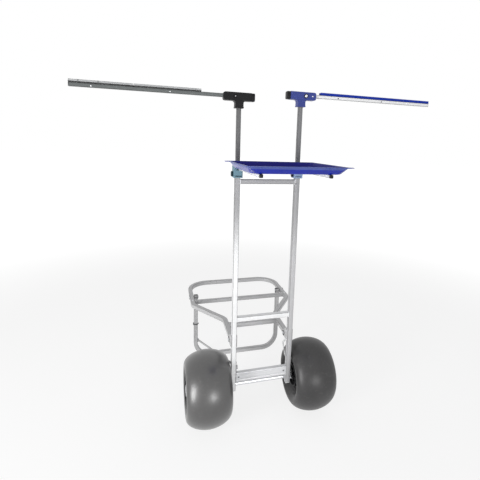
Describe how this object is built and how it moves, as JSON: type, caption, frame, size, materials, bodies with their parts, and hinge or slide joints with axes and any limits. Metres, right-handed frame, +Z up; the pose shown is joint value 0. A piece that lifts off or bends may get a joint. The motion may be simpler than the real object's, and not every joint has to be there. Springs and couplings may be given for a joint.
{
  "type": "fishing trolley",
  "caption": "Push trolley for fishing tackle with balloon wheels, a folding square-tube cradle on a leg frame, telescoping handles with rod arms and a lift-off bait tray.",
  "frame": {"origin": "centre of the plan of the bounding box, on the ground that the wheels and the leg frame stand on", "axes": "+X to the right along the axle, +Y forwards from the handles to the cradle, +Z up"},
  "size_m": [1.374, 1.028, 1.3578],
  "materials": {
    "frame_aluminium": "satin extruded aluminium",
    "grey_aluminium": "dull grey drawn aluminium",
    "dark_aluminium": "dark satin aluminium",
    "steel": "bright zinc plated steel",
    "tyre": "matt moulded balloon tyre",
    "black_plastic": "moulded black plastic",
    "pale_plastic": "moulded pale grey plastic",
    "teal_plastic": "moulded teal grey plastic",
    "steel_blue_plastic": "moulded steel blue plastic",
    "navy_plastic": "moulded navy plastic",
    "blue_plastic": "glossy royal blue plastic",
    "blue_rubber": "matt royal blue foam rubber",
    "grey_rubber": "matt grey foam rubber",
    "black_rubber": "matt black rubber"
  },
  "bodies": {
    "frame": {"upright_left": "frame_aluminium", "upright_right": "frame_aluminium", "foot_plug_left": "pale_plastic", "foot_plug_right": "pale_plastic", "top_bar": "frame_aluminium", "mid_bar": "frame_aluminium", "axle_beam": "grey_aluminium", "axle_tube": "steel", "axle_collar_left": "steel", "axle_collar_right": "steel", "axle_clip_left": "steel", "axle_clip_right": "steel", "collar_left": "teal_plastic", "collar_right": "steel_blue_plastic", "tray_arm_left": "frame_aluminium", "tray_arm_right": "frame_aluminium", "tray_arm_cap_left": "black_plastic", "tray_arm_cap_right": "black_plastic", "cradle_bracket_left": "grey_aluminium", "cradle_bracket_right": "grey_aluminium", "pivot_bolt_left": "steel", "pivot_bolt_right": "steel", "stay_lug": "grey_aluminium", "buffer_left": "black_rubber", "buffer_right": "black_rubber", "keeper_hook_left": "grey_aluminium", "keeper_hook_right": "grey_aluminium"},
    "wheel_left": {"tyre_left": "tyre", "hub_left": "black_plastic", "hub_cap_left": "steel"},
    "wheel_right": {"tyre_right": "tyre", "hub_right": "black_plastic", "hub_cap_right": "steel"},
    "clamp_knob_left": {"collar_knob_left": "black_plastic"},
    "clamp_knob_right": {"collar_knob_right": "black_plastic"},
    "handle_left": {"handle_tube_left": "dark_aluminium", "tee_left": "black_plastic", "tee_cap_left": "black_plastic"},
    "handle_right": {"handle_tube_right": "dark_aluminium", "tee_right": "navy_plastic", "tee_cap_right": "black_plastic"},
    "arm_screw_left": {"tee_screw_left": "steel"},
    "arm_screw_right": {"tee_screw_right": "steel"},
    "arm_left": {"arm_tube_left": "grey_aluminium", "rest_strip_left": "grey_rubber", "arm_end_cap_left": "black_plastic"},
    "arm_right": {"arm_tube_right": "grey_aluminium", "rest_strip_right": "blue_rubber", "arm_end_cap_right": "black_plastic"},
    "bait_tray": {"tray": "blue_plastic"},
    "cradle": {"cradle_ring": "grey_aluminium", "cradle_cross_tube": "grey_aluminium", "cradle_second_bar": "grey_aluminium", "leg_bolt_left": "steel", "leg_bolt_right": "steel"},
    "leg": {"leg_frame": "grey_aluminium", "leg_clip": "black_plastic"},
    "side_stay": {"stay": "grey_aluminium"}
  },
  "joints": [
    {"name": "wheel_left_spin", "type": "hinge", "parent": "frame", "child": "wheel_left", "pos_m": [-0.234, -0.158, 0.151], "axis": [1, 0, 0], "continuous": true},
    {"name": "wheel_right_spin", "type": "hinge", "parent": "frame", "child": "wheel_right", "pos_m": [0.214, -0.158, 0.151], "axis": [1, 0, 0], "continuous": true},
    {"name": "cradle_fold", "type": "hinge", "parent": "frame", "child": "cradle", "pos_m": [-0.01, -0.14, 0.347], "axis": [1, 0, 0], "range_deg": [0, 90]},
    {"name": "leg_fold", "type": "hinge", "parent": "cradle", "child": "leg", "pos_m": [-0.01, 0.315, 0.347], "axis": [1, 0, 0], "range_deg": [-38, 0]},
    {"name": "stay_swing", "type": "hinge", "parent": "leg", "child": "side_stay", "pos_m": [-0.2227, 0.315, 0.099], "axis": [1, 0, 0], "range_deg": [0, 27.5]},
    {"name": "clamp_knob_left_turn", "type": "hinge", "parent": "frame", "child": "clamp_knob_left", "pos_m": [-0.15, -0.18, 1.041], "axis": [-1, 0, 0], "range_deg": [0, 360]},
    {"name": "clamp_knob_right_turn", "type": "hinge", "parent": "frame", "child": "clamp_knob_right", "pos_m": [0.09, -0.18, 1.041], "axis": [-1, 0, 0], "range_deg": [0, 360]},
    {"name": "handle_left_height", "type": "slide", "parent": "frame", "child": "handle_left", "axis": [0, 0, 1], "range_m": [-0.2, 0.2]},
    {"name": "handle_right_height", "type": "slide", "parent": "frame", "child": "handle_right", "axis": [0, 0, 1], "range_m": [-0.219, 0.181]},
    {"name": "arm_screw_left_turn", "type": "hinge", "parent": "handle_left", "child": "arm_screw_left", "pos_m": [-0.146, -0.196, 1.3205], "axis": [0, -1, 0], "range_deg": [0, 360]},
    {"name": "arm_screw_right_turn", "type": "hinge", "parent": "handle_right", "child": "arm_screw_right", "pos_m": [0.126, -0.196, 1.3395], "axis": [0, -1, 0], "range_deg": [0, 360]},
    {"name": "arm_left_slide", "type": "slide", "parent": "handle_left", "child": "arm_left", "axis": [-1, 0, 0], "range_m": [0, 0.06]},
    {"name": "arm_right_slide", "type": "slide", "parent": "handle_right", "child": "arm_right", "axis": [1, 0, 0], "range_m": [0, 0.06]},
    {"name": "tray_lift", "type": "slide", "parent": "frame", "child": "bait_tray", "axis": [0, 0, 1], "range_m": [0, 0.06]}
  ],
  "couplings": [
    {"joint": "leg_fold", "follows": "cradle_fold", "ratio": -0.42},
    {"joint": "stay_swing", "follows": "cradle_fold", "ratio": 0.3}
  ]
}
